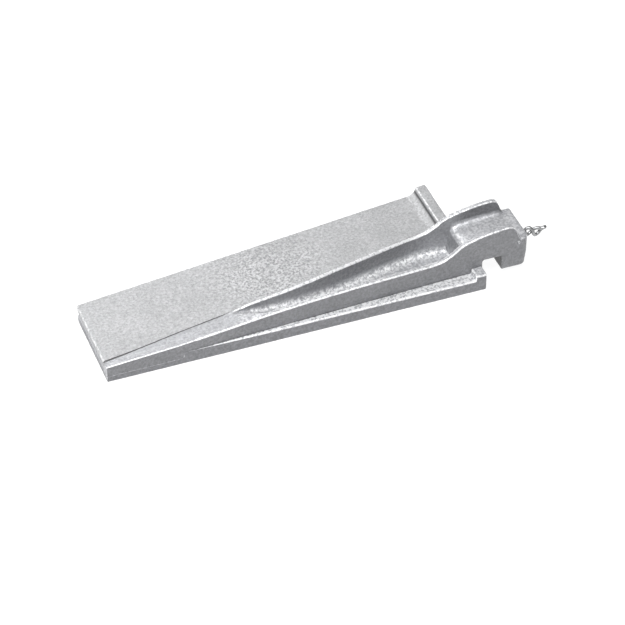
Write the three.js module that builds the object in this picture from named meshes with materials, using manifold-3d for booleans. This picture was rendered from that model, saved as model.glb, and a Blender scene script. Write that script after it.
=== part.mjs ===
// Telescopic felling wedge: two flared plates with a cast drive wedge between them.
// Millimetres, +Z up. The plates lie along X, with the thin tip at low X and the struck head at high X.
// The drive wedge slides out along its guide line, and the upper plate sinks as it does.
import * as THREE from 'three';
import { mergeVertices } from 'three/addons/utils/BufferGeometryUtils.js';
import Module from 'manifold-3d';

const wasm = await Module();
wasm.setup();

// ---- driving dimensions ----
const GAP = 0.3; // running gap between neighbouring pieces
const TIP = -0.8; // blunt end shared by both plates and the drive wedge
const LENGTH = 200; // where the lower plate ends
const TIP_WIDTH = 49.8;
const REAR_WIDTH = 64.8;
const ORIGIN = { x: 100, y: 28 }; // middle of the lower plate, where the part's own origin stands

const FLOOR = 3.5; // lower plate floor thickness
const RAIL_HEIGHT = 7; // front guide rail, seen as the ledge
const RAIL_START = 50;
const GUIDE_START = 36; // where the guide line leaves the front edge
const GUIDE_SLOPE = 0.0446; // guide line, Y per X
const BACK_RAIL_START = 24;
const BACK_RAIL_END = 186;
const BACK_RAIL_INNER = 46.6;
const BACK_RAIL_BASE = 3.9;
const LIP_LENGTH = 5.6; // raised end lips of both plates
const LOWER_LIP_TOP = 9.6;
const CORNER = 1.2; // plan corner cut
const TIP_CORNER = 0.4;

const LIFT_SLOPE = 0.0466; // rise of the drive wedge's wing and of the upper plate
const PLATE_TIP_TOP = 9.9;
const PLATE_THICKNESS = 3.4;
const UPPER_LENGTH = 192;
const UPPER_LIP_RISE = 4.1;
const LIP_COVE = 4.2; // radius of the hollow that leads up to the upper lip

const UNDERSIDE = FLOOR + GAP; // drive wedge underside
const NOSE_TOP = 9.5;
const WALL = 2.7; // channel wall thickness
const HEAD_FRONT = 7.3;
const HEAD_BACK = 32.8;
const HEAD_START = 176;
const HEAD_END = 226.2;
const HEAD_CORNER = 4.6; // front corner of the struck end, in plan
const BODY_END = 200.3;
const NOTCH_TOP = 12.6;
const HOOK_START = 211;
const HOOK_BOTTOM = 3.9;
const BLOCK_START = 190.5;
const BLOCK_TOP = 19.9;
const BLOCK_END_TOP = 21.3;
const TROUGH_FLOOR = 5.5;

const TRAVEL = 50; // how far the drive wedge pulls out
const RAIL = { start: 130, length: 56, y: 44, stem: 6, head: 10, height: 4.3, flange: 2.1 };
const SCREW = { count: 3, shank: 1.5, head: 2.9, rim: 0.6, cone: 1.8, length: 6.2 };
const PIN = { radius: 1.5, bottom: 4.2, bite: 2.2 };
const PIN_STATIONS = { guide_pin_front: 92, guide_pin_rear: 168 };
const EYE = { y: 16, z: 18.1, wire: 0.66, shank: 1, depth: 9.4, droop: 16 };
const EYE_PIN = { x: 220.3, z: 19.2, radius: 0.85 };

const ALUMINIUM = { roughness: 0.42, metalness: 0.85 };

// ---- lines in plan and profile ----
const guideLine = (x) => GUIDE_SLOPE * (x - GUIDE_START);
const backEdge = (x) => TIP_WIDTH + ((REAR_WIDTH - TIP_WIDTH) * x) / LENGTH;
const backRail = (x) => BACK_RAIL_INNER + GUIDE_SLOPE * x;
const plateTop = (x) => PLATE_TIP_TOP + LIFT_SLOPE * x;
const plateUnderside = (x) => plateTop(x) - PLATE_THICKNESS;
const wingTop = (x) => plateUnderside(x) - GAP;

const spline = (points, steps) => {
  const stations = points.map(([x, y]) => new THREE.Vector3(x, y, 0));
  const curve = new THREE.CatmullRomCurve3(stations, false, 'centripetal');
  return curve.getPoints(steps).map((p) => [p.x, p.y]);
};

// points on a circle in plan or profile, between two angles in degrees
const arc = (x, y, radius, from, to, steps) => Array.from({ length: steps + 1 }, (_, i) => {
  const angle = THREE.MathUtils.degToRad(from + ((to - from) * i) / steps);
  return [x + radius * Math.cos(angle), y + radius * Math.sin(angle)];
});

// outer face of the fin in plan, from the tip to the head
const finPlan = spline([[TIP, 4.4], [12, 5.8], [24, 7.5], [38, 9.8], [50, 11.5], [100, 17.6]], 20)
  .concat(spline([[100, 17.6], [134, 24.2], [160, 29.8], [HEAD_START, 32.4]], 14).slice(1))
  .concat([[HEAD_START + 8, HEAD_BACK], [HEAD_END, HEAD_BACK]]);

// top edge of both channel walls, from the tip up the shoulder to the head
const wallTop = spline([[TIP, NOSE_TOP], [48, 13.1], [100, 16.8], [136, 17.9], [172, 18.1]], 16)
  .concat(spline([[178, 18.5], [184, 21.5], [189, 25.3], [198, 27.8], [209, 29.7], [214.5, 30.1]], 20))
  .concat([[217.2, 29.2], [219, 26.6], [220.6, BLOCK_END_TOP]]);

const troughFloor = spline([[62, 15.1], [78, 10.6], [104, 7.3], [134, TROUGH_FLOOR], [150, TROUGH_FLOOR]], 16)
  .concat([[BLOCK_START - 2.6, TROUGH_FLOOR], [BLOCK_START - 0.6, TROUGH_FLOOR + 2]])
  .concat([[BLOCK_START, BLOCK_TOP - 1.5]])
  .concat([[BLOCK_START + 1.5, BLOCK_TOP], [HEAD_END + 1, BLOCK_END_TOP]]);

// ---- solids ----
const toSolid = (geometry) => {
  const bare = geometry.clone();
  bare.deleteAttribute('normal');
  bare.deleteAttribute('uv');
  const merged = mergeVertices(bare, 1e-4);
  const triVerts = new Uint32Array(merged.index.array);
  const vertProperties = new Float32Array(merged.attributes.position.array);
  return new wasm.Manifold(new wasm.Mesh({ numProp: 3, vertProperties, triVerts }));
};

const toMesh = (name, solid, color, finish = ALUMINIUM) => {
  const { vertProperties, triVerts } = solid.getMesh();
  const geometry = new THREE.BufferGeometry();
  geometry.setAttribute('position', new THREE.BufferAttribute(vertProperties, 3));
  geometry.setIndex(new THREE.BufferAttribute(triVerts, 1));
  geometry.computeVertexNormals();
  const mesh = new THREE.Mesh(geometry, new THREE.MeshStandardMaterial({ color, ...finish }));
  mesh.name = name;
  return mesh;
};

const outline = (points) => new THREE.Shape(points.map(([x, y]) => new THREE.Vector2(x, y)));
const extrude = (shape, depth) => new THREE.ExtrudeGeometry(shape, { depth, bevelEnabled: false });

// plan outline raised from one height to another
const slab = (points, low, high) => toSolid(extrude(outline(points), high - low).translate(0, 0, low));

// side profile in X and Z drawn out along Y
const profile = (points, front, back) => {
  const geometry = extrude(outline(points), back - front).rotateX(Math.PI / 2).translate(0, back, 0);
  return toSolid(geometry);
};

const box = (x0, x1, y0, y1, z0, z1) => slab([[x0, y0], [x1, y0], [x1, y1], [x0, y1]], z0, z1);

// turned piece: radius and height pairs, from the axis round to the axis
const turned = (points, segments = 24) => {
  const outlinePoints = points.map(([r, z]) => new THREE.Vector2(r, z));
  return toSolid(new THREE.LatheGeometry(outlinePoints, segments).rotateX(Math.PI / 2));
};

const rod = (radius, length) => {
  const c = radius * 0.25;
  const side = [[radius - c, 0], [radius, c], [radius, length - c], [radius - c, length]];
  return turned([[0, 0]].concat(side, [[0, length]]));
};
const hole = (radius, low, high, x, y) => (
  turned([[0, 0], [radius, 0], [radius, high - low], [0, high - low]]).translate(x, y, low)
);

// countersunk seat, drawn from 1 mm below the underside
const screwSeat = [[0, 0], [SCREW.head + GAP, 0], [SCREW.head + GAP, SCREW.rim + 1 + GAP]]
  .concat([[SCREW.shank + GAP, SCREW.cone + 1 + GAP], [0, SCREW.cone + 1 + GAP]]);
const screwPoints = Array.from({ length: SCREW.count }, (_, i) => {
  const x = RAIL.start + (RAIL.length * (i + 0.5)) / SCREW.count;
  return [x, RAIL.y + GUIDE_SLOPE * (x - RAIL.start)];
});
const pinPoint = (x) => [x, (backRail(x) + backEdge(x)) / 2 + 0.2];

// bar along the guide line, centred on the T rail
const guideBar = (x0, x1, width, low, high) => {
  const y = (x, side) => RAIL.y + GUIDE_SLOPE * (x - RAIL.start) + (side * width) / 2;
  return slab([[x0, y(x0, -1)], [x1, y(x1, -1)], [x1, y(x1, 1)], [x0, y(x0, 1)]], low, high);
};

const buildBasePlate = () => {
  const c = CORNER;
  const t = TIP_CORNER;
  const floorPlan = [[TIP + t, 0], [LENGTH - c, 0], [LENGTH, c], [LENGTH, REAR_WIDTH - c]]
    .concat([[LENGTH - c, backEdge(LENGTH - c)], [TIP + c, backEdge(TIP + c)]])
    .concat([[TIP, TIP_WIDTH - c], [TIP, t]]);
  const railPlan = [[RAIL_START, 0], [LENGTH - c, 0], [LENGTH, c], [LENGTH, guideLine(LENGTH) - GAP]]
    .concat([[RAIL_START, guideLine(RAIL_START) - GAP]]);
  const lipPlan = [[LENGTH - LIP_LENGTH, 0], [LENGTH - c, 0], [LENGTH, c], [LENGTH, guideLine(LENGTH) - GAP]]
    .concat([[LENGTH - LIP_LENGTH, guideLine(LENGTH - LIP_LENGTH) - GAP]]);
  const backPlan = [BACK_RAIL_START, BACK_RAIL_END].map((x) => [x, backRail(x)])
    .concat([BACK_RAIL_END, BACK_RAIL_START].map((x) => [x, backEdge(x)]));
  const backTop = (x) => BACK_RAIL_BASE + LIFT_SLOPE * x;
  const underBack = [[0, 1], [LENGTH + 1, 1], [LENGTH + 1, backTop(LENGTH + 1)], [0, backTop(0)]];

  let plate = slab(floorPlan, 0, FLOOR);
  plate = plate.add(slab(railPlan, 1, RAIL_HEIGHT));
  plate = plate.add(slab(lipPlan, 1, LOWER_LIP_TOP));
  plate = plate.add(slab(backPlan, 1, 20).intersect(profile(underBack, 40, 70)));
  screwPoints.forEach(([x, y]) => {
    plate = plate.subtract(hole(SCREW.shank + GAP, -1, FLOOR + 1, x, y));
    plate = plate.subtract(turned(screwSeat).translate(x, y, -1));
  });
  Object.values(PIN_STATIONS).forEach((station) => {
    const [x, y] = pinPoint(station);
    plate = plate.subtract(hole(PIN.radius + GAP, 1, 20, x, y));
  });
  return plate;
};

const buildUpperPlate = () => {
  const end = UPPER_LENGTH;
  const c = CORNER;
  const front = finPlan.filter(([x]) => x < HEAD_START).map(([x, y]) => [x, y + GAP]);
  const mouth = HEAD_BACK + GAP;
  const plan = front.concat([[HEAD_START + 4, mouth + 0.1], [end, mouth + GUIDE_SLOPE * (end - HEAD_START)]])
    .concat([[end, backEdge(end) - c], [end - c, backEdge(end)]])
    .concat([[TIP + c, backEdge(TIP + c)], [TIP, TIP_WIDTH - c]]);
  const lipStart = end - LIP_LENGTH;
  const lipTop = plateTop(lipStart) + UPPER_LIP_RISE;
  const coveFoot = plateTop(lipStart - LIP_COVE);
  const cove = arc(lipStart - LIP_COVE, coveFoot + LIP_COVE, LIP_COVE, -12, -87, 6);
  const side = [[TIP - 1, plateUnderside(TIP - 1)], [end + 1, plateUnderside(end + 1)], [end + 1, lipTop]]
    .concat([[lipStart + 0.6, lipTop], [lipStart, lipTop - 0.3]], cove)
    .concat([[TIP + 0.5, plateTop(TIP + 0.5)], [TIP, plateTop(TIP) - 0.5], [TIP - 1, plateTop(TIP) - 0.5]]);
  let plate = slab(plan, 0, 40).intersect(profile(side, 0, 70));
  Object.values(PIN_STATIONS).forEach((station) => {
    const [x, y] = pinPoint(station);
    plate = plate.subtract(hole(PIN.radius + GAP, 0, plateUnderside(x) + PIN.bite + GAP, x, y));
  });
  return plate;
};

// the bore of the pin that crosses the head over the wire eye's shank
const eyePinBore = () => (
  rod(EYE_PIN.radius + GAP, 40).rotate([-90, 0, 0]).translate(EYE_PIN.x, 0, EYE_PIN.z)
);

const buildDriveWedge = () => {
  const nose = TIP;
  const wingBack = (x) => backRail(x) - GAP;
  const frontFace = [[nose, 0], [GUIDE_START, 0], [BODY_END, guideLine(BODY_END)]];
  const wingPlan = frontFace.concat([[BODY_END, HEAD_BACK], [UPPER_LENGTH, wingBack(UPPER_LENGTH)]])
    .concat([[nose, wingBack(nose)]]);
  const underWing = [[nose - 1, UNDERSIDE], [BODY_END, UNDERSIDE], [BODY_END, wingTop(BODY_END)]]
    .concat([[nose - 1, wingTop(nose - 1)]]);
  const wing = slab(wingPlan, 0, 30).intersect(profile(underWing, -1, 70));

  const struckCorner = arc(HEAD_END - HEAD_CORNER, HEAD_FRONT + HEAD_CORNER, HEAD_CORNER, -90, 0, 6);
  const channelPlan = frontFace.concat(struckCorner, [...finPlan].reverse());
  const notch = [[BODY_END, NOTCH_TOP - 1], [BODY_END + 1, NOTCH_TOP], [HOOK_START, NOTCH_TOP]];
  const channelSide = [[nose, UNDERSIDE], [BODY_END, UNDERSIDE]].concat(notch)
    .concat([[HOOK_START, HOOK_BOTTOM + 1], [HOOK_START + 1, HOOK_BOTTOM]])
    .concat([[HEAD_END - 1.6, HOOK_BOTTOM], [HEAD_END - 0.8, HOOK_BOTTOM + 1], [HEAD_END, HOOK_BOTTOM + 6]])
    .concat(arc(HEAD_END - 1.5, BLOCK_END_TOP - 1.5, 1.5, 0, 90, 4))
    .concat([...wallTop].reverse());
  const channel = slab(channelPlan, 0, 40).intersect(profile(channelSide, -1, 70));

  const innerFront = [[40, guideLine(40) + WALL], [BODY_END, guideLine(BODY_END) + WALL]]
    .concat([[HEAD_END + 1, HEAD_FRONT + WALL]]);
  const innerBack = finPlan.filter(([x]) => x > 40).map(([x, y]) => [x, y - WALL - 0.1]);
  const hollowPlan = innerFront.concat([[HEAD_END + 1, HEAD_BACK - WALL]], innerBack.reverse());
  const aboveFloor = troughFloor.concat([[HEAD_END + 1, 40], [62, 40]]);
  const hollow = slab(hollowPlan, 0, 40).intersect(profile(aboveFloor, -1, 70));

  const slotStart = RAIL.start - TRAVEL - GAP;
  const slotTop = UNDERSIDE + RAIL.height + GAP;
  const stemSlot = guideBar(slotStart, BODY_END + 1, RAIL.stem + 2 * GAP, 0, slotTop);
  const flangeLow = slotTop - RAIL.flange - 2 * GAP;
  const headSlot = guideBar(slotStart, BODY_END + 1, RAIL.head + 2 * GAP, flangeLow, slotTop);

  let wedge = wing.add(channel).subtract(hollow);
  wedge = wedge.subtract(stemSlot).subtract(headSlot);
  const boreFoot = HEAD_END - EYE.depth - GAP;
  const eyeBore = rod(EYE.shank + GAP, EYE.depth + 2).rotate([0, 90, 0]).translate(boreFoot, EYE.y, EYE.z);
  return wedge.subtract(eyeBore).subtract(eyePinBore());
};

const buildGuideRail = () => {
  const end = RAIL.start + RAIL.length;
  const top = UNDERSIDE + RAIL.height;
  let rail = guideBar(RAIL.start, end, RAIL.stem, UNDERSIDE, top);
  rail = rail.add(guideBar(RAIL.start, end, RAIL.head, top - RAIL.flange, top));
  screwPoints.forEach(([x, y]) => {
    rail = rail.subtract(hole(SCREW.shank + GAP, 0, SCREW.length + 2 * GAP, x, y));
  });
  return rail;
};

const buildScrew = ([x, y]) => {
  const { shank, head, rim, cone, length } = SCREW;
  const body = turned([[0, 0.2], [head - 0.2, 0.2], [head, 0.4], [head, rim], [shank, cone]]
    .concat([[shank, length - 0.5], [shank - 0.5, length], [0, length]]));
  const socket = turned([[0, 0], [1.1, 0], [1.1, 1.2], [0, 1.7]], 6);
  return body.subtract(socket).translate(x, y, 0);
};

const buildGuidePin = (station) => {
  const [x, y] = pinPoint(station);
  const top = plateUnderside(x) + PIN.bite;
  return rod(PIN.radius, top - PIN.bottom).translate(x, y, PIN.bottom);
};

// one closed wire, doubled and twisted into two eyes, with a small bend turned up at its end
const buildWireEye = () => {
  const out = [[0.4, 0.7, 0], [1.7, 0.5, 1.5], [3, 0, 2.1], [4.3, -0.5, 1.5], [5.6, -0.74, 0]]
    .concat([[6.9, -0.5, -1.6], [8.3, 0, -2.05], [9.8, 0.5, -1.2], [11, 0.72, 0.6], [12, 0.6, 2.1]]);
  const back = [[12.3, -0.1, 3], [11.5, -0.8, 3], [10.1, -0.5, 2.3], [8.3, 0, 2.15], [6.9, 0.5, 1.5]]
    .concat([[5.6, 0.74, 0], [4.3, 0.5, -1.5], [3, 0, -2.1], [1.7, -0.5, -1.5], [0.4, -0.7, 0]]);
  const hidden = [[-0.6, -0.7, 0], [-1.3, 0, 0], [-0.6, 0.7, 0]];
  const path = out.concat(back, hidden).map(([x, y, z]) => new THREE.Vector3(x, y, z));
  const curve = new THREE.CatmullRomCurve3(path, true, 'centripetal');
  const wire = toSolid(new THREE.TubeGeometry(curve, 110, EYE.wire, 8, true))
    .translate(0.5, 0, 0).rotate([0, EYE.droop, 0]);
  const shank = rod(EYE.shank, EYE.depth).rotate([0, 90, 0]).translate(0.6 - EYE.depth, 0, 0);
  return shank.add(wire).translate(HEAD_END, EYE.y, EYE.z).subtract(eyePinBore());
};

const buildEyePin = () => {
  const inset = 0.4;
  return rod(EYE_PIN.radius, HEAD_BACK - HEAD_FRONT - 2 * inset).rotate([-90, 0, 0])
    .translate(EYE_PIN.x, HEAD_FRONT + inset, EYE_PIN.z);
};

// ---- assembly ----
const wedge = new THREE.Group();
wedge.position.set(-ORIGIN.x, -ORIGIN.y, 0);
wedge.add(toMesh('base_plate', buildBasePlate(), 0xb4b6bb));
wedge.add(toMesh('upper_plate', buildUpperPlate(), 0xbfc1c5));
wedge.add(toMesh('drive_wedge', buildDriveWedge(), 0xa8aaaf));
wedge.add(toMesh('guide_rail', buildGuideRail(), 0x8e9094));
screwPoints.forEach((point, i) => {
  wedge.add(toMesh(`rail_screw_${i + 1}`, buildScrew(point), 0x77797c, { roughness: 0.35, metalness: 0.95 }));
});
Object.entries(PIN_STATIONS).forEach(([name, station]) => {
  wedge.add(toMesh(name, buildGuidePin(station), 0x85878a, { roughness: 0.3, metalness: 0.95 }));
});
wedge.add(toMesh('eye_pin', buildEyePin(), 0x9a9ca0, { roughness: 0.3, metalness: 0.95 }));
wedge.add(toMesh('wire_eye', buildWireEye(), 0x8a8d90, { roughness: 0.3, metalness: 0.95 }));

export default wedge;
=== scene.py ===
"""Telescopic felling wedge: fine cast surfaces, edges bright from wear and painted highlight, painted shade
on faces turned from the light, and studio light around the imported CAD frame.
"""
import math

import bmesh
import bpy
import numpy as np
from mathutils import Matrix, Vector


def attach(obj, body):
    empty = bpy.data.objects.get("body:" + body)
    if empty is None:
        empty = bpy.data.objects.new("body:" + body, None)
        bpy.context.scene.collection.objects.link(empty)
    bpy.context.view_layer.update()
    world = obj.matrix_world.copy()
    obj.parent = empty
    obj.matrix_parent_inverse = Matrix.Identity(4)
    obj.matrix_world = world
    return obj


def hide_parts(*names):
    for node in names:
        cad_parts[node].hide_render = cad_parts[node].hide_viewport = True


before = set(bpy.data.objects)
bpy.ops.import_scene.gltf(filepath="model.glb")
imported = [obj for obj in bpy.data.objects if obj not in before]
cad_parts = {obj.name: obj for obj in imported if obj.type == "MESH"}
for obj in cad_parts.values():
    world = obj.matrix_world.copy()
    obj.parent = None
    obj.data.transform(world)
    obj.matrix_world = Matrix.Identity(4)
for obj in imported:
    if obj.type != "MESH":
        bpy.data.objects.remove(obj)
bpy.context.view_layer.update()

MM = 0.001  # metres in a millimetre

# ---- driving dimensions, in mm from the lower plate's front tip corner, as in the CAD source ----
ORIGIN = np.array([100.0, 28.0, 0.0])
TIP = -0.8
LENGTH = 200.0
TIP_WIDTH = 49.8
REAR_WIDTH = 64.8
FLOOR = 3.5
RAIL_HEIGHT = 7.0
GUIDE_START = 36.0
GUIDE_SLOPE = 0.0446
BACK_RAIL_START = 24.0
BACK_RAIL_END = 186.0
BACK_RAIL_INNER = 46.6
BACK_RAIL_BASE = 3.9
LIP_LENGTH = 5.6
LOWER_LIP_TOP = 9.6
LIFT_SLOPE = 0.0466
PLATE_TIP_TOP = 9.9
PLATE_THICKNESS = 3.4
UPPER_LENGTH = 192.0
UPPER_LIP_RISE = 4.1
LIP_COVE = 4.2
WALL = 2.7
HEAD_FRONT_CORNER = 4.6
HEAD_BACK = 32.8
HEAD_END = 226.2
BODY_END = 200.3
NOTCH_TOP = 12.6
HOOK_START = 211.0
HOOK_BOTTOM = 3.9
BLOCK_TOP = 19.9
BLOCK_END_TOP = 21.3
TROUGH_FLOOR = 5.5
SEAM = 0.07  # gap between sliding faces before the skin's grain, which is coarser and crosses it
UNDERSIDE = FLOOR + SEAM
TRAVEL = 50.0
RAIL_START = 130.0
RAIL_LENGTH = 56.0
RAIL_Y = 44.0
RAIL_TOP = 8.1
PIN_STATIONS = (92.0, 168.0)
PIN_HOLE = 1.8
SCREW_STATIONS = tuple(RAIL_START + RAIL_LENGTH * (i + 0.5) / 3 for i in range(3))
EYE = Vector((HEAD_END, 16.0, 18.1))
EYE_DROOP = math.radians(16)
EYE_WIRE = 0.9
EYE_BORE = 1.3
EYE_DEPTH = 9.7
EYE_PIN = (220.3, 19.2)
EYE_PIN_HOLE = 0.95

NOSE_RADIUS = 0.5  # of the castings' thin ends
END_RADIUS = 0.9  # of the plates' rear ends
HEAD_RADIUS = 1.5
LEDGE_START = 38.0  # where the ledge comes out from under the drive wedge
LEDGE_FULL = 60.0
TROUGH_START = 65.0
BLOCK_FOOT = 189.7  # the striking block's steep face, from its foot to its top
BLOCK_BROW = 191.8
# Radius and length of the cutter, which starts 1 mm below the plate. At a radius of 3.15 or 3.18 the cut
# drops a wall face, so the mesh needs a check after a change.
SCREW_RECESS = (3.2, 2.06)
SCREW_HOLE = 1.8

# ---- tones stored with the mesh: below 0 is painted shade, darkest at -1; 0 plain casting; above 0 bright metal, from wear and from painted highlight and light ----
# painted shade at its darkest: the hook leg's face in the notch, the upper plate's lip step and the joint
# along its front edge
PAINTED_SHADE = -1.0
# painted shade on the front and other upright faces, which the light from above leaves darker
SIDE_SHADE = -0.5
# painted shade on the underside at the thin tip
TIP_UNDERSIDE_SHADE = -0.7
# painted shade on the striking block's steep face and on the fillet at its foot
BLOCK_FACE_SHADE = -0.4
BLOCK_FOOT_CORNER_SHADE = -0.3
# painted light on the end faces at the thin tip
WEDGE_TIP_LIGHT = 0.3
PLATE_TIP_LIGHT = 0.4
# the lower plate's lip top, a little lighter
LIP_TOP_LIGHTER = 0.3
# the ledge: bright from wear as a sliding face, and raised further as painted light where the wall behind
# would shade it
LEDGE_WEAR_AND_LIGHT = 0.72
SOLID_TOP = 0.12  # top of the drive wedge ahead of its trough
# rims: bright metal from wear, and painted highlight where rounded edges would catch the light
FIN_RIM_WEAR_AND_HIGHLIGHT = 1.1
RIM_WEAR_AND_HIGHLIGHT = 1.5

FLOOR_DROP = -0.0003  # keeps the floor clear of the sandy underside
CAMERA_LENS = 158.28
CAMERA_PITCH = math.radians(40.4)
CAMERA_HEADING = math.radians(20.66)
CAMERA_DISTANCE = 1.3643
CAMERA_TARGET = Vector((0.0075, -0.0235, 0.0086))


# ---- lines in plan and profile ----
def smooth_line(points):
    """A monotone cubic through the points, as a function of x."""
    xs, ys = np.array(points, float).T
    h = np.diff(xs)
    d = np.diff(ys) / h
    m = np.concatenate([[d[0]], np.zeros(len(d) - 1), [d[-1]]])
    for i in range(1, len(d)):
        if d[i - 1] * d[i] > 0:
            w1, w2 = 2 * h[i] + h[i - 1], h[i] + 2 * h[i - 1]
            m[i] = (w1 + w2) / (w1 / d[i - 1] + w2 / d[i])

    def at(x):
        x = np.clip(x, xs[0], xs[-1])
        i = min(max(int(np.searchsorted(xs, x)) - 1, 0), len(h) - 1)
        t = (x - xs[i]) / h[i]
        a = (1 + 2 * t) * (1 - t) ** 2 * ys[i] + t * t * (3 - 2 * t) * ys[i + 1]
        return a + h[i] * (t * (1 - t) ** 2 * m[i] + t * t * (t - 1) * m[i + 1])

    return at


def guide_line(x):
    """Where the drive wedge's front face slides along the back of the lower plate's ledge."""
    return GUIDE_SLOPE * (x - GUIDE_START)


def rail_y(x):
    """Middle of the guide rail, which runs parallel to the guide line."""
    return RAIL_Y + GUIDE_SLOPE * (x - RAIL_START)


def back_edge(x):
    """Outer back edge of both plates, which flare toward the rear."""
    return TIP_WIDTH + (REAR_WIDTH - TIP_WIDTH) * x / LENGTH


def back_rail(x):
    """Inner side of the lower plate's back rail."""
    return BACK_RAIL_INNER + GUIDE_SLOPE * x


def plate_top(x):
    """Top of the upper plate, rising toward the rear."""
    return PLATE_TIP_TOP + LIFT_SLOPE * x


def plate_underside(x):
    """Underside of the upper plate, which lies on the drive wedge's wing."""
    return plate_top(x) - PLATE_THICKNESS


fin_face = smooth_line([
    (TIP, 4.4), (12, 5.8), (24, 7.5), (38, 9.8), (50, 11.5), (66, 13.7), (100, 17.6), (134, 24.2),
    (160, 29.8), (172, 32.0), (180, 32.7), (186, HEAD_BACK), (230, HEAD_BACK),
])
wall_top = smooth_line([
    (TIP, 9.4), (48, 13.1), (100, 16.8), (136, 17.9), (172, 18.2), (178, 18.9), (184, 21.8), (189, 25.2),
    (198, 27.9), (209, 29.7), (214.2, 30.1), (216.6, 29.6), (218.2, 27.8), (219.6, 24.4),
    (221.2, BLOCK_END_TOP),
])
trough_floor = smooth_line([
    (64, 15.0), (80, 10.8), (104, 7.4), (134, TROUGH_FLOOR), (188.0, TROUGH_FLOOR), (189.6, 6.6),
    (190.5, 9.8), (191.3, 14.6), (192.1, 17.3), (193.4, 19.1), (196.0, BLOCK_TOP + 0.1),
    (HEAD_END, BLOCK_END_TOP),
])


def inset(x, end, radius):
    """How far a rounded end has drawn in at x, for an end at `end` reached in either direction."""
    reach = radius - abs(end - x)
    return 0.0 if reach <= 0 else radius - math.sqrt(max(radius**2 - reach**2, 0.0))


# ---- mesh helpers ----
ARCS = 5  # steps round each corner of a section
TOO_SHORT = 1e-6  # mm; a corner beside an edge this short stays sharp
ROUND_SIDES = 32
WIRE_SIDES = 14
WELD = 0.00002  # m; points closer than this become one
CUTTER_WELD = 1e-7


def rounded_section(corners, radii, spacing, flats, shine):
    """A closed outline in (y, z) with each corner rounded.

    Each edge is cut into its number of steps in `spacing`, so every section of a piece has the same count.
    Returns the points and the tone of each one: `flats` along each edge, `shine` amid each corner.
    """
    corners = np.array(corners, float)
    count = len(corners)
    lengths = np.linalg.norm(np.roll(corners, -1, 0) - corners, axis=1)
    starts, ends, points, tones = [], [], [], []
    for i, corner in enumerate(corners):
        before, after = corners[i - 1], corners[(i + 1) % count]
        u, v = before - corner, after - corner
        lu, lv = lengths[i - 1], lengths[i]
        if min(lu, lv) < TOO_SHORT:
            starts.append(corner)
            ends.append(corner)
            continue
        u, v = u / lu, v / lv
        half = math.acos(np.clip(u @ v, -1, 1)) / 2
        tangent = min(radii[i] / max(math.tan(half), 1e-3), 0.49 * lu, 0.49 * lv)
        starts.append(corner + u * tangent)
        ends.append(corner + v * tangent)
    for i, corner in enumerate(corners):
        p, q = starts[i], ends[i]
        for k in range(ARCS + 1):
            t = k / ARCS
            blend = (1 - t) ** 2 * p + 2 * t * (1 - t) * corner + t * t * q
            points.append(blend)
            flat = flats[i - 1] * (1 - t) + flats[i] * t
            tones.append(flat + (shine[i] - flat) * math.sin(math.pi * t))
        nxt = starts[(i + 1) % count]
        for k in range(1, spacing[i]):
            points.append(q + (nxt - q) * k / spacing[i])
            tones.append(flats[i])
    return np.array(points), np.array(tones)


def loft(name, stations, section):
    """A closed solid through one section at each x, capped flat at both ends."""
    rings, tones = [], []
    for x in stations:
        points, tone = section(x)
        rings.append(np.column_stack([np.full(len(points), x), points]))
        tones.append(tone)
    count = len(rings[0])
    vertices = (np.vstack(rings) - ORIGIN) * MM
    faces = []
    for i in range(len(rings) - 1):
        a, b = i * count, (i + 1) * count
        for j in range(count):
            k = (j + 1) % count
            faces.append((a + j, a + k, b + k, b + j))
    faces.append(tuple(reversed(range(count))))
    last = (len(rings) - 1) * count
    faces.append(tuple(range(last, last + count)))
    mesh = bpy.data.meshes.new(name)
    mesh.from_pydata(vertices.tolist(), [], faces)
    stored = mesh.attributes.new("tone", "FLOAT", "POINT")
    stored.data.foreach_set("value", np.concatenate(tones).astype(np.float32))
    piece = bpy.data.objects.new(name, mesh)
    bpy.context.scene.collection.objects.link(piece)
    return piece


def apply_modifiers(piece):
    """Makes the result of the piece's modifiers its own mesh."""
    graph = bpy.context.evaluated_depsgraph_get()
    done = bpy.data.meshes.new_from_object(piece.evaluated_get(graph))
    piece.modifiers.clear()
    piece.data = done


def clean(piece, merge=WELD):
    """Welds doubled points and turns every face outwards."""
    work = bmesh.new()
    work.from_mesh(piece.data)
    bmesh.ops.remove_doubles(work, verts=work.verts, dist=merge)
    bmesh.ops.dissolve_degenerate(work, edges=work.edges, dist=merge / 2)
    bmesh.ops.recalc_face_normals(work, faces=work.faces)
    work.to_mesh(piece.data)
    work.free()


def cylinder(centre, axis, radius, length):
    """A closed round cutter in mm, from centre along axis."""
    axis = Vector(axis).normalized()
    side = axis.orthogonal().normalized()
    other = axis.cross(side)
    vertices, sides = [], ROUND_SIDES
    for along in (0.0, length):
        for i in range(sides):
            a = 2 * math.pi * i / sides
            p = Vector(centre) + axis * along + (side * math.cos(a) + other * math.sin(a)) * radius
            vertices.append(p)
    faces = [(i, (i + 1) % sides, sides + (i + 1) % sides, sides + i) for i in range(sides)]
    faces += [tuple(reversed(range(sides))), tuple(range(sides, 2 * sides))]
    return vertices, faces


def bar(x0, x1, width, low, high):
    """A closed bar in mm along the guide rail, centred on it."""
    vertices = []
    for x in (x0, x1):
        y = rail_y(x)
        for dy, z in ((-1, low), (1, low), (1, high), (-1, high)):
            vertices.append(Vector((x, y + dy * width / 2, z)))
    faces = [(0, 1, 2, 3), (7, 6, 5, 4), (0, 4, 5, 1), (1, 5, 6, 2), (2, 6, 7, 3), (3, 7, 4, 0)]
    return vertices, faces


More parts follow.
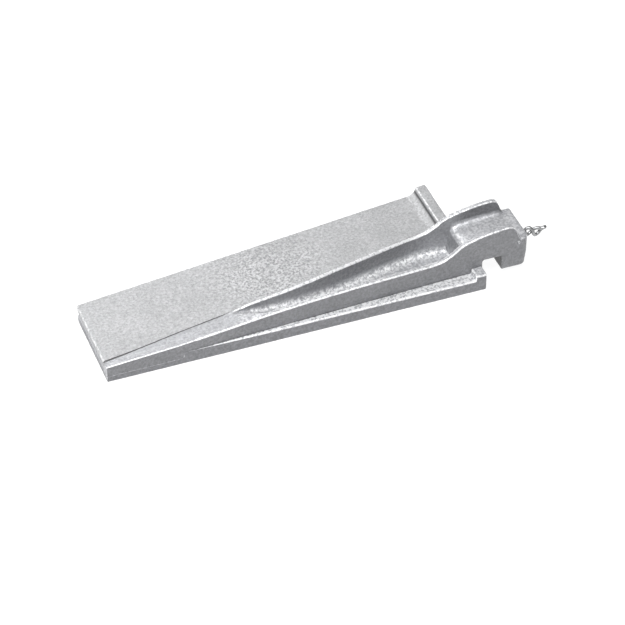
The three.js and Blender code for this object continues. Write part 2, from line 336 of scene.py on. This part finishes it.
def cut(piece, shapes):
    """Cuts closed shapes, given in mm, out of the piece."""
    for vertices, faces in shapes:
        mesh = bpy.data.meshes.new("cutter")
        mesh.from_pydata([tuple((np.array(v) - ORIGIN) * MM) for v in vertices], [], faces)
        tool = bpy.data.objects.new("cutter", mesh)
        bpy.context.scene.collection.objects.link(tool)
        clean(tool, CUTTER_WELD)
        change = piece.modifiers.new("cut", "BOOLEAN")
        change.operation = "DIFFERENCE"
        change.solver = "EXACT"
        change.object = tool
        apply_modifiers(piece)
        bpy.data.objects.remove(tool)


def noise(points, scale, seed):
    """Smooth value noise from -1 to 1 at each point, the same on every run."""
    p = points / scale + seed * 17.31
    base = np.floor(p).astype(np.int64)
    f = p - base
    f = f * f * (3 - 2 * f)
    total = np.zeros(len(p))
    for corner in range(8):
        o = np.array([corner & 1, corner >> 1 & 1, corner >> 2 & 1])
        c = base + o
        h = (c[:, 0] * 73856093) ^ (c[:, 1] * 19349663) ^ (c[:, 2] * 83492791)
        h = (h ^ (h >> 13)) * 1274126177
        value = ((h ^ (h >> 16)) & 0xFFFF) / 32767.5 - 1
        weight = np.prod(np.where(o == 1, f, 1 - f), axis=1)
        total += weight * value
    return total


SKIN_WAVES = 0.08  # mm
# edges wander where the tone is set, for wear, painted highlight and painted shade alike
TONE_WANDER = 0.1  # mm


def cast_skin(piece, grain, seed):
    """Roughens a casting: grain of `grain` mm, slow waves, and uneven edges where the tone isn't plain."""
    mesh = piece.data
    count = len(mesh.vertices)
    co = np.zeros(count * 3)
    mesh.vertices.foreach_get("co", co)
    normal = np.zeros(count * 3)
    mesh.vertices.foreach_get("normal", normal)
    co, normal = co.reshape(-1, 3), normal.reshape(-1, 3)
    mm = co / MM
    tone = np.zeros(count)
    mesh.attributes["tone"].data.foreach_get("value", tone)
    move = grain * noise(mm, 1.1, seed) + 0.6 * grain * noise(mm, 0.55, seed + 3)
    move += SKIN_WAVES * noise(mm, 9, seed + 1) * 0.5
    move += TONE_WANDER * tone * np.minimum(noise(mm, 2.3, seed + 2), 0.25)
    co += normal * move[:, None] * MM
    mesh.vertices.foreach_set("co", co.reshape(-1))
    mesh.update()


def finish_piece(piece, node, body, material):
    """Gives a fine piece its material and smooth faces, hangs it on its body and hides the CAD node it stands
    in for.
    """
    piece.data.materials.clear()
    piece.data.materials.append(material)
    for polygon in piece.data.polygons:
        polygon.use_smooth = True
    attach(piece, body)
    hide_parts(node)


def spread(*ranges):
    """Stations from (start, end, step) ranges joined end to end."""
    xs = []
    for start, end, step in ranges:
        xs.extend(np.linspace(start, end, max(2, int(round((end - start) / step)) + 1))[:-1])
    return np.array(xs + [ranges[-1][1]])


# ---- materials ----
def node_material(name):
    """A new material, its node tree and its shader."""
    material = bpy.data.materials.new(name)
    material.use_nodes = True
    tree = material.node_tree
    shader = tree.nodes["Principled BSDF"]
    return material, tree, shader


def noise_node(tree, scale, detail, roughness, coordinate):
    """Noise in space, from 0 to 1."""
    node = tree.nodes.new("ShaderNodeTexNoise")
    node.inputs["Scale"].default_value = scale
    node.inputs["Detail"].default_value = detail
    node.inputs["Roughness"].default_value = roughness
    tree.links.new(coordinate, node.inputs["Vector"])
    return node.outputs["Fac"]


def remap(tree, value, low, high, out_low, out_high):
    """Stretches low..high to out_low..out_high, and holds it there."""
    node = tree.nodes.new("ShaderNodeMapRange")
    tree.links.new(value, node.inputs["Value"])
    for key, number in (("From Min", low), ("From Max", high), ("To Min", out_low), ("To Max", out_high)):
        node.inputs[key].default_value = number
    return node.outputs["Result"]


def mix_colour(tree, factor, a, b):
    """Colour a where the factor is 0 and b where it is 1; each is a colour or a socket."""
    node = tree.nodes.new("ShaderNodeMix")
    node.data_type = "RGBA"
    tree.links.new(factor, node.inputs["Factor"])
    for socket, value in ((node.inputs["A"], a), (node.inputs["B"], b)):
        if isinstance(value, tuple):
            socket.default_value = (*value, 1)
        else:
            tree.links.new(value, socket)
    return node.outputs["Result"]


def bump_node(tree, height, distance, strength, below=None):
    """Relief from a height, on top of the relief below it."""
    node = tree.nodes.new("ShaderNodeBump")
    node.inputs["Distance"].default_value = distance
    node.inputs["Strength"].default_value = strength
    tree.links.new(height, node.inputs["Height"])
    if below is not None:
        tree.links.new(below, node.inputs["Normal"])
    return node.outputs["Normal"]


def mix_value(tree, share, a, b):
    """a where the share is 0 and b where it is 1."""
    return math_node(tree, "ADD", a, math_node(tree, "MULTIPLY", share, math_node(tree, "SUBTRACT", b, a)))


def math_node(tree, operation, a, b):
    """One sum on two sockets or numbers."""
    node = tree.nodes.new("ShaderNodeMath")
    node.operation = operation
    for socket, value in zip(node.inputs, (a, b)):
        if isinstance(value, float):
            socket.default_value = value
        else:
            tree.links.new(value, socket)
    return node.outputs["Value"]


def cast_aluminium(name, dull, bright, metallic, roughness, grain_strength, patch=(0, 0, 0, 0.001)):
    """Sand-cast aluminium: fine speckled grain, slow staining, brighter and smoother where the tone is above
    0 for wear and painted highlight, and darker down to near black where it is below 0 for painted shade.

    `patch` is the middle and radius of a spot where the sand left a coarser skin.
    """
    material, tree, shader = node_material(name)
    place = tree.nodes.new("ShaderNodeTexCoord").outputs["Object"]
    sand = noise_node(tree, 800, 4, 0.7, place)
    distance = tree.nodes.new("ShaderNodeVectorMath")
    distance.operation = "DISTANCE"
    distance.inputs[1].default_value = patch[:3]
    tree.links.new(place, distance.inputs[0])
    coarse_skin = remap(tree, distance.outputs["Value"], patch[3] * 0.3, patch[3], 1.0, 0.0)
    even_grain = remap(tree, sand, 0.36, 0.64, 0.2, 0.8)
    coarse_grain = remap(tree, sand, 0.4, 0.6, -0.05, 1.05)
    speckle = mix_value(tree, coarse_skin, even_grain, coarse_grain)
    fine = noise_node(tree, 1900, 3, 0.65, place)
    stain = noise_node(tree, 55, 3, 0.55, place)
    tone = tree.nodes.new("ShaderNodeAttribute")
    tone.attribute_name = "tone"
    pits = remap(tree, noise_node(tree, 680, 3, 0.6, place), 0.42, 0.58, 0.3, 1.75)
    # tone above 0 mixes toward bright metal for wear and painted highlight; below 0 darkens it as painted
    # shade
    wear_and_highlight = remap(tree, math_node(tree, "MULTIPLY", tone.outputs["Fac"], pits), 0.1, 0.85, 0.0, 1.0)
    painted_shade_mask = remap(tree, tone.outputs["Fac"], -1.0, 0.0, 1.0, 0.0)
    dark = tuple(c * 0.6 for c in dull)
    light = tuple(c * 1.36 for c in dull)
    grain = mix_colour(tree, speckle, dark, light)
    stained = mix_colour(tree, remap(tree, stain, 0.35, 0.75, 0.0, 0.3), grain, dark)
    # painted shade: down to a tenth of the colour
    shaded = mix_colour(tree, painted_shade_mask, stained, tuple(c * 0.1 for c in dull))
    tree.links.new(mix_colour(tree, wear_and_highlight, shaded, bright), shader.inputs["Base Color"])
    rough = remap(tree, speckle, 0, 1, roughness + 0.06, roughness - 0.06)
    smooth = remap(tree, wear_and_highlight, 0, 1, 0.0, 0.12)
    tree.links.new(math_node(tree, "SUBTRACT", rough, smooth), shader.inputs["Roughness"])
    tree.links.new(remap(tree, wear_and_highlight, 0, 1, metallic, metallic + 0.1), shader.inputs["Metallic"])
    coarse = bump_node(tree, stain, 0.0002, 0.25)
    tree.links.new(bump_node(tree, fine, 0.00014, grain_strength, coarse), shader.inputs["Normal"])
    return material


def machined_steel(name, dark, light, roughness, stretch=(1, 1, 1)):
    """Ground or drawn steel with fine directional scratches."""
    material, tree, shader = node_material(name)
    place = tree.nodes.new("ShaderNodeTexCoord").outputs["Object"]
    mapping = tree.nodes.new("ShaderNodeMapping")
    mapping.inputs["Scale"].default_value = stretch
    tree.links.new(place, mapping.inputs["Vector"])
    scratch = noise_node(tree, 1500, 3, 0.6, mapping.outputs["Vector"])
    blotch = noise_node(tree, 250, 2, 0.5, place)
    colour = mix_colour(tree, remap(tree, scratch, 0.3, 0.7, 0, 1), dark, light)
    blotched = mix_colour(tree, remap(tree, blotch, 0.35, 0.8, 0, 0.4), colour, tuple(c * 0.7 for c in dark))
    tree.links.new(blotched, shader.inputs["Base Color"])
    rough = remap(tree, blotch, 0.3, 0.7, roughness - 0.06, roughness + 0.1)
    tree.links.new(rough, shader.inputs["Roughness"])
    shader.inputs["Metallic"].default_value = 1.0
    tree.links.new(bump_node(tree, scratch, 0.00004, 0.4), shader.inputs["Normal"])
    return material


# ---- castings ----
UP = (0, 0, 1)
STEP = 0.04  # mm; half the width of an upright step between two stations
LEAN_START = 213.0
HOOK_LEAN = 0.8  # mm; how far the hook leg's rear face draws in at its foot


def cove_rise(x, start, rise, radius):
    """Height of a raised end lip at x, reached through a hollow of the given radius."""
    reach = x - (start - radius)
    if reach <= 0:
        return 0.0
    if x >= start:
        return rise
    return min(radius - math.sqrt(radius**2 - reach**2), rise)


def near(x, place, reach):
    """1 at the place, falling to 0 at the reach."""
    return max(0.0, 1 - abs(x - place) / reach)


def ramp(x, start, end):
    """0 up to the start, rising evenly to 1 at the end. The end may come first along x."""
    return min(max((x - start) / (end - start), 0), 1)


def base_section(x):
    """The lower plate: ledge at the front, floor, and the low rail along its back."""
    nose, tail = inset(x, TIP, NOSE_RADIUS), inset(x, LENGTH, END_RADIUS)
    pull = nose + tail
    rail_back = max(guide_line(x) - SEAM, 0.0)
    lip_start = LENGTH - LIP_LENGTH
    rail_top = FLOOR
    if rail_back > 0.05:
        rail_top = RAIL_HEIGHT + cove_rise(x, lip_start, LOWER_LIP_TOP - RAIL_HEIGHT, 0.9)
        rail_top -= 0.5 * tail + 0.35 * near(x, lip_start, 0.5) * (x > lip_start)
    on_back = BACK_RAIL_START <= x <= BACK_RAIL_END
    back_top = BACK_RAIL_BASE + LIFT_SLOPE * x if on_back else FLOOR
    outer = back_edge(x) - 2 * pull
    inner = min(back_rail(x), outer - 0.1)
    rail_back = max(rail_back, pull)
    corners = [
        (pull, 0.8 * pull), (pull, rail_top), (rail_back, rail_top), (rail_back, FLOOR),
        (inner, FLOOR), (inner, back_top), (outer, back_top), (outer, 0.8 * pull),
    ]
    ledge_radius = 1.0
    if x <= LEDGE_FULL:
        ledge_radius = 0.15 + 0.85 * max(x - LEDGE_START, 0) / (LEDGE_FULL - LEDGE_START)
    radii = [0.5, ledge_radius, 0.35, 0.3, 0.8, 0.5, 0.9, 0.6]
    # ledge top: wear and painted light; painted shade where it is still under the drive wedge
    ledge = LEDGE_WEAR_AND_LIGHT if x < lip_start - 0.6 else LIP_TOP_LIGHTER
    if x < LEDGE_START:
        ledge = SIDE_SHADE
    # painted shade on the upright faces and under the tip, painted light on the tip's end face
    side = SIDE_SHADE if x > TIP + 0.15 else PLATE_TIP_LIGHT
    under = 0 if x > TIP + 0.6 else TIP_UNDERSIDE_SHADE
    # ledge's edges: painted highlight and wear along the front, rising out of painted shade where the ledge
    # starts
    front_edge = np.interp(x, (LEDGE_START, 64), (SIDE_SHADE, RIM_WEAR_AND_HIGHLIGHT))
    back_corner = np.interp(x, (LEDGE_START, 50), (SIDE_SHADE, 0.3))
    # painted highlight along the lip's front edge
    flats = [side, max(ledge, near(x, lip_start + 0.2, 0.6)), 0, 0, 0, 0.2, 0, under]
    # the back rail's corners bright from wear and painted highlight
    shine = [under, front_edge, back_corner, 0, 0, 0.5, 0.5, under]
    return rounded_section(corners, radii, [9, 8, 4, 52, 8, 12, 12, 70], flats, shine)


def build_base_plate():
    """The lower plate, with its screw holes and guide pin holes."""
    rail_start = (BACK_RAIL_START - STEP, BACK_RAIL_START + STEP)
    rail_end = (BACK_RAIL_END - STEP, BACK_RAIL_END + STEP)
    stations = spread(
        (TIP, TIP + 0.6, 0.1), (TIP + 0.6, rail_start[0], 0.75), (*rail_start, 2 * STEP),
        (rail_start[1], rail_end[0], 0.7), (*rail_end, 2 * STEP), (rail_end[1], 193.2, 0.6),
        (193.2, 195.4, 0.1), (195.4, 199, 0.4), (199, LENGTH, 0.1),
    )
    piece = loft("base_plate_cast", stations, base_section)
    clean(piece)
    holes = []
    for x in SCREW_STATIONS:
        holes.append(cylinder((x, rail_y(x), -1), UP, *SCREW_RECESS))
        holes.append(cylinder((x, rail_y(x), 0.5), UP, SCREW_HOLE, 4.4))
    for x in PIN_STATIONS:
        holes.append(cylinder((x, pin_y(x), 1), UP, PIN_HOLE, 19))
    cut(piece, holes)
    cast_skin(piece, grain=0.05, seed=2)
    return piece


def pin_y(x):
    """Middle of the strip that holds the guide pins."""
    return (back_rail(x) + back_edge(x)) / 2 + 0.2


def upper_section(x):
    """The upper plate, with its raised lip at the rear end."""
    nose, tail = inset(x, TIP, NOSE_RADIUS), inset(x, UPPER_LENGTH, END_RADIUS)
    front = fin_face(x) + 0.12
    if x > 172:
        front += (x - 172) * GUIDE_SLOPE * 0.9
    lip_start = UPPER_LENGTH - LIP_LENGTH
    top = plate_top(x) - nose + cove_rise(x, lip_start, UPPER_LIP_RISE, LIP_COVE)
    top -= 0.5 * tail + 0.3 * near(x, lip_start, 0.5) * (x >= lip_start)
    under = plate_underside(x) + 0.3 * nose + 0.5 * tail
    back = back_edge(x) - 2 * nose - 1.3 * tail
    corners = [(front + tail, under), (front + tail, top), (back, top), (back, under)]
    # painted highlights on the lip's edge, the foot of its hollow and the tip's top edge; painted shade on
    # the lip's steep step and along the front top edge where the plate meets the fin
    lip_edge_highlight = 0.6 * near(x, lip_start + 0.3, 0.7)
    cove_foot_highlight = 0.25 * near(x, lip_start - LIP_COVE - 0.2, 1.2)
    top_tone = max(lip_edge_highlight, 0.5 * near(x, TIP, 0.7), cove_foot_highlight)
    top_tone += PAINTED_SHADE * near(x, lip_start - 0.55, 0.7)
    seam_shade = ramp(x, 62, 74) * 0.6 + PAINTED_SHADE
    radii, steps = [0.2, 0.42, 0.6, 0.5], [6, 84, 6, 60]
    # the back edges bright from wear and painted highlight
    return rounded_section(corners, radii, steps, [0, top_tone, 0.1, 0], [0, seam_shade, 0.6, 0.3])


def build_upper_plate():
    """The upper plate, bored for the guide pins."""
    stations = spread(
        (TIP, TIP + 0.6, 0.1), (TIP + 0.6, 181.6, 0.55), (181.6, 187.2, 0.14), (187.2, 191, 0.4),
        (191, UPPER_LENGTH, 0.1),
    )
    piece = loft("upper_plate_cast", stations, upper_section)
    clean(piece)
    holes = [cylinder((x, pin_y(x), 0), UP, PIN_HOLE, plate_underside(x) + 2.5) for x in PIN_STATIONS]
    cut(piece, holes)
    cast_skin(piece, grain=0.07, seed=5)
    return piece


def wedge_bottom(x):
    """Underside of the drive wedge: flat body, then the notch and the hook leg."""
    if x <= BODY_END:
        return UNDERSIDE
    if x < HOOK_START:
        return NOTCH_TOP - inset(x, BODY_END, 1.6) - inset(x, HOOK_START, 1.4)
    return HOOK_BOTTOM + inset(x, HOOK_START, 1.0)


def wedge_section(x):
    """The drive wedge: front wall, trough, back fin, and the wing that lies under the upper plate."""
    nose, tail = inset(x, TIP, NOSE_RADIUS), inset(x, HEAD_END, HEAD_RADIUS)
    front = guide_line(min(max(x, GUIDE_START), BODY_END)) + inset(x, HEAD_END, HEAD_FRONT_CORNER) + nose
    back = fin_face(x) - inset(x, HEAD_END, 1.0)
    top = wall_top(x) - tail - nose
    bottom = wedge_bottom(x) + tail + 0.3 * nose
    wing, wing_back = plate_underside(x) - SEAM, back_rail(x) - SEAM
    if x > UPPER_LENGTH:
        share = ramp(x, UPPER_LENGTH, BODY_END)
        wing_back = (back_rail(UPPER_LENGTH) - SEAM) * (1 - share) + back * share
    if x > BODY_END:
        wing, wing_back = bottom, back
    wing = min(wing, top)
    wall = min(WALL, (back - front) / 3)
    opening = max(ramp(x, TROUGH_START, 83), 0.02)
    fin_wall = min(wall, np.interp(x, (TROUGH_START, 100, 176, 190), (1.2, 2.1, 2.2, WALL)))
    inner = back - fin_wall - (back - front - fin_wall - wall) * opening
    fin_top = top - max(top - plate_top(x) - 0.1, 0) * ramp(x, 78, 62)
    fall = (fin_top - top) / (back - front)
    inner_top = top + fall * (inner - front)
    fin_lip = top + fall * (back - fin_wall - front)
    floor = trough_floor(x) - tail if x > 60 else top
    corners = [
        (front, bottom), (front, top), (inner, inner_top), (inner, min(floor, inner_top)),
        (back - fin_wall, min(floor, fin_lip)), (back - fin_wall, fin_lip), (back, fin_top),
        (back, min(wing, fin_top)), (wing_back, wing), (wing_back, bottom),
    ]
    edge = 0.85 if x > 45 else 0.55
    shoulder = edge + 2.6 * ramp(x, 217, 222)
    fillet = 4.2 - 1.6 * ramp(x, 185, 188)
    radii = [0.12 if x < BODY_END else 0.9, shoulder, edge, fillet, fillet + 0.4, edge, edge, 0.4, 0.3, 0.3]
    flats, shine = wedge_tones(x)
    return rounded_section(corners, radii, [20, 3, 16, 22, 14, 3, 10, 24, 6, 48], flats, shine)


def wedge_tones(x):
    """Tones along the drive wedge's edges and corners, in the order of its section's corners."""
    cut_in = ramp(x, 66, 76)
    trough = np.interp(x, (110, 140, 184, 187), (-0.05, 0.2, 0.22, 0.2))
    # painted highlights on the block's bevels and on the trough's run-out slope
    trough = max(trough, 0.5 * near(x, 193.2, 1.8), 0.5 * near(x, 189.2, 1.4), 0.4 * near(x, 68, 12))
    on_block_face = BLOCK_FOOT < x < BLOCK_BROW
    if on_block_face:
        trough = BLOCK_FACE_SHADE
    side = SIDE_SHADE if x > TIP + 0.15 else WEDGE_TIP_LIGHT
    # painted shade on the hook leg's face inside the notch
    hook_face_shade = PAINTED_SHADE if abs(x - HOOK_START) < 0.9 else 0.0
    # rims: bright from wear and painted highlight
    fin_top = FIN_RIM_WEAR_AND_HIGHLIGHT - 0.85 * ramp(x, 180, 188)
    rim = RIM_WEAR_AND_HIGHLIGHT - 0.8 * ramp(x, 184, 192) - 0.5 * ramp(x, 215, 219)
    # painted shade down the back fin's inner face, deepest at the head
    fin_inside_shade = np.interp(x, (110, 135, 168, 184, 190, 200), (-0.1, -0.35, -0.35, 0, 0, -0.6))
    inner_rim = SOLID_TOP + (rim - SOLID_TOP) * cut_in
    # painted highlight along the trough's foot fillets; painted shade at the foot of the block's steep face
    foot_corner = BLOCK_FOOT_CORNER_SHADE if on_block_face else 0.35 * inner_rim
    flats = [side, SOLID_TOP + 0.18 * cut_in * (x < 180), SOLID_TOP * (1 - cut_in),
             SOLID_TOP + (trough - SOLID_TOP) * cut_in, fin_inside_shade,
             SOLID_TOP + (fin_top - SOLID_TOP) * cut_in, 0, 0, 0, hook_face_shade]
    # the fin's back top corner takes painted shade where it meets the upper plate, ahead of the trough
    shine = [min(hook_face_shade, -0.2), max(rim, 0.3), inner_rim, foot_corner, foot_corner, inner_rim,
             -0.6 + (rim + 0.6) * cut_in, 0, 0, hook_face_shade]
    return flats, shine


def build_drive_wedge():
    """The drive wedge, slotted for the guide rail and bored for the wire eye and its pin."""
    notch_start = (BODY_END - STEP, BODY_END + STEP)
    notch_end = (HOOK_START - STEP, HOOK_START + STEP)
    stations = spread(
        (TIP, TIP + 0.6, 0.1), (TIP + 0.6, 60, 0.8), (60, 172, 0.55), (172, 187, 0.4),
        (187, 194.5, 0.16), (194.5, notch_start[0], 0.3), (*notch_start, 2 * STEP),
        (notch_start[1], 202, 0.12), (202, 209.4, 0.6), (209.4, notch_end[0], 0.12),
        (*notch_end, 2 * STEP), (notch_end[1], 212.2, 0.12), (212.2, 221, 0.3), (221, HEAD_END, 0.15),
    )
    piece = loft("drive_wedge_cast", stations, wedge_section)
    for vertex in piece.data.vertices:
        x, z = vertex.co.x / MM + ORIGIN[0], vertex.co.z / MM
        if x > LEAN_START:
            lean = ramp(z, 11, 5.5) * (x - LEAN_START) / (HEAD_END - LEAN_START)
            vertex.co.x -= HOOK_LEAN * MM * lean
    clean(piece)
    start = RAIL_START - TRAVEL - 0.3
    shapes = [
        bar(start, BODY_END + 2, 6.6, 0, 7.0),
        bar(start, BODY_END + 2, 10.6, RAIL_TOP - 2.4, RAIL_TOP + 0.3),
        cylinder((HEAD_END - EYE_DEPTH, EYE.y, EYE.z), (1, 0, 0), EYE_BORE, EYE_DEPTH + 4),
        cylinder((EYE_PIN[0], 0, EYE_PIN[1]), (0, 1, 0), EYE_PIN_HOLE, 40),
    ]
    cut(piece, shapes)
    cast_skin(piece, grain=0.045, seed=9)
    return piece


# ---- small hardware ----
def tube(name, path, radius):
    """A round wire along a list of points in mm, closed at both ends."""
    path, sides = [Vector(p) for p in path], WIRE_SIDES
    vertices, faces = [], []
    side = None
    for i, p in enumerate(path):
        along = (path[min(i + 1, len(path) - 1)] - path[max(i - 1, 0)]).normalized()
        side = along.orthogonal() if side is None else side - along * side.dot(along)
        side.normalize()
        other = along.cross(side)
        for k in range(sides):
            a = 2 * math.pi * k / sides
            vertices.append(p + (side * math.cos(a) + other * math.sin(a)) * radius)
    for i in range(len(path) - 1):
        for k in range(sides):
            a, b = i * sides + k, i * sides + (k + 1) % sides
            faces.append((a, b, b + sides, a + sides))
    faces.append(tuple(reversed(range(sides))))
    faces.append(tuple(range((len(path) - 1) * sides, len(path) * sides)))
    mesh = bpy.data.meshes.new(name)
    mesh.from_pydata([tuple((np.array(v) - ORIGIN) * MM) for v in vertices], [], faces)
    piece = bpy.data.objects.new(name, mesh)
    bpy.context.scene.collection.objects.link(piece)
    return piece


def build_wire_eye():
    """One wire, doubled and twisted into two eyes, with a small bend turned up at its end."""
    ends = [(-4.5, 0.7, 0), (-1.5, 0.7, 0)]
    out = [
        (0.4, 0.7, 0), (1.7, 0.5, 1.5), (3, 0, 2.1), (4.3, -0.5, 1.5), (5.6, -0.74, 0),
        (6.9, -0.5, -1.6), (8.3, 0, -2.05), (9.8, 0.5, -1.2), (11, 0.72, 0.6), (12, 0.6, 2.1),
    ]
    back = [
        (12.3, -0.1, 3), (11.5, -0.8, 3), (10.1, -0.5, 2.3), (8.3, 0, 2.15), (6.9, 0.5, 1.5),
        (5.6, 0.74, 0), (4.3, 0.5, -1.5), (3, 0, -2.1), (1.7, -0.5, -1.5), (0.4, -0.7, 0),
    ]
    stem = [(-1.5, -0.7, 0), (-4.5, -0.7, 0)]
    path = smooth_path([Vector(p) for p in ends + out + back + stem], 6)
    placed = []
    for p in path:
        x, z = 0.93 * p.x + 0.5, p.z
        lean = EYE_DROOP * ramp(x, -1.5, 0.5)
        along = EYE.x + x * math.cos(lean) + z * math.sin(lean)
        height = EYE.z + z * math.cos(lean) - x * math.sin(lean)
        placed.append((along, EYE.y + p.y, height))
    return tube("wire_eye_twisted", placed, EYE_WIRE)


def smooth_path(points, steps):
    """A Catmull-Rom line through the points."""
    full = [points[0] * 2 - points[1]] + points + [points[-1] * 2 - points[-2]]
    path = []
    for a, b, c, d in zip(full, full[1:], full[2:], full[3:]):
        for k in range(steps):
            t = k / steps
            square = (2 * a - 5 * b + 4 * c - d) * t**2
            cube = (3 * b - a - 3 * c + d) * t**3
            path.append(0.5 * (2 * b + (c - a) * t + square + cube))
    path.append(points[-1])
    return path


# ---- build ----
# bright metal colour for wear and for painted highlights
BRIGHT_WEAR_AND_HIGHLIGHT = (0.86, 0.865, 0.875)
COARSE_PATCH = (-0.005, 0.007, 0.0143, 0.034)
lower_cast = cast_aluminium("lower cast", (0.38, 0.385, 0.405), BRIGHT_WEAR_AND_HIGHLIGHT, 0.35, 0.46, 0.5)
upper_cast = cast_aluminium("upper cast", (0.45, 0.453, 0.462), BRIGHT_WEAR_AND_HIGHLIGHT, 0.35, 0.46, 1.0, COARSE_PATCH)
drive_cast = cast_aluminium("drive cast", (0.395, 0.4, 0.418), BRIGHT_WEAR_AND_HIGHLIGHT, 0.35, 0.44, 0.5)
rail_steel = machined_steel("milled rail steel", (0.36, 0.37, 0.38), (0.52, 0.53, 0.54), 0.34, (0.05, 1, 1))
screw_steel = machined_steel("plated screw steel", (0.30, 0.31, 0.32), (0.46, 0.46, 0.47), 0.3)
pin_steel = machined_steel("ground pin steel", (0.42, 0.43, 0.44), (0.58, 0.59, 0.6), 0.26, (1, 1, 0.1))
wire_steel = machined_steel("drawn wire steel", (0.30, 0.305, 0.31), (0.46, 0.465, 0.47), 0.38, (0.2, 1, 1))

finish_piece(build_base_plate(), "base_plate", "lower", lower_cast)
finish_piece(build_upper_plate(), "upper_plate", "upper", upper_cast)
finish_piece(build_drive_wedge(), "drive_wedge", "drive", drive_cast)
finish_piece(build_wire_eye(), "wire_eye", "drive", wire_steel)

hardware = {
    "guide_rail": rail_steel, "eye_pin": pin_steel, "guide_pin_front": pin_steel, "guide_pin_rear": pin_steel,
    "rail_screw_1": screw_steel, "rail_screw_2": screw_steel, "rail_screw_3": screw_steel,
}
for node, material in hardware.items():
    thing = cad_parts[node]
    thing.data.materials.clear()
    thing.data.materials.append(material)


# ---- stage, light and camera ----
def build_floor():
    """A pale ground that gives off most of its light itself, so it stays white and nearly free of shadow."""
    reach = 6.0
    mesh = bpy.data.meshes.new("floor")
    corners = [(x * reach, y * reach, FLOOR_DROP) for x, y in ((-1, -1), (1, -1), (1, 1), (-1, 1))]
    mesh.from_pydata(corners, [], [(0, 1, 2, 3)])
    floor = bpy.data.objects.new("floor", mesh)
    bpy.context.scene.collection.objects.link(floor)
    material, _, shader = node_material("pale floor")
    shader.inputs["Base Color"].default_value = (0.2, 0.2, 0.2, 1)
    shader.inputs["Roughness"].default_value = 0.9
    shader.inputs["Emission Color"].default_value = (1, 1, 1, 1)
    shader.inputs["Emission Strength"].default_value = 0.9
    mesh.materials.append(material)


def soft_light(name, place, size, power):
    """A round area light aimed at the frame's origin."""
    light = bpy.data.lights.new(name, "AREA")
    light.shape = "DISK"
    light.size = size
    light.energy = power
    lamp = bpy.data.objects.new(name, light)
    lamp.location = place
    lamp.rotation_euler = (-Vector(place)).to_track_quat("-Z", "Y").to_euler()
    bpy.context.scene.collection.objects.link(lamp)


def build_camera():
    """A long lens from the front, above and slightly left of the wedge."""
    data = bpy.data.cameras.new("camera")
    data.sensor_width = 36
    data.lens = CAMERA_LENS
    camera = bpy.data.objects.new("camera", data)
    flat = math.cos(CAMERA_PITCH)
    across, ahead = math.sin(CAMERA_HEADING) * flat, math.cos(CAMERA_HEADING) * flat
    forward = Vector((across, ahead, -math.sin(CAMERA_PITCH)))
    camera.location = CAMERA_TARGET - forward * CAMERA_DISTANCE
    camera.rotation_euler = forward.to_track_quat("-Z", "Y").to_euler()
    bpy.context.scene.collection.objects.link(camera)
    bpy.context.scene.camera = camera


def build_world():
    """Faint white light from all round."""
    world = bpy.data.worlds.new("studio")
    world.use_nodes = True
    world.node_tree.nodes["Background"].inputs["Color"].default_value = (1, 1, 1, 1)
    world.node_tree.nodes["Background"].inputs["Strength"].default_value = 0.16
    bpy.context.scene.world = world


bpy.context.scene.view_settings.view_transform = "Standard"
build_floor()
build_world()
build_camera()
soft_light("overhead", (-0.32, -0.5, 1.3), 0.8, 23.5)
soft_light("back panel", (-0.12, 0.75, 0.75), 0.6, 3)
soft_light("left panel", (-1.1, 0.1, 0.55), 0.5, 6)
soft_light("front", (0.38, -0.9, 0.98), 0.35, 3)
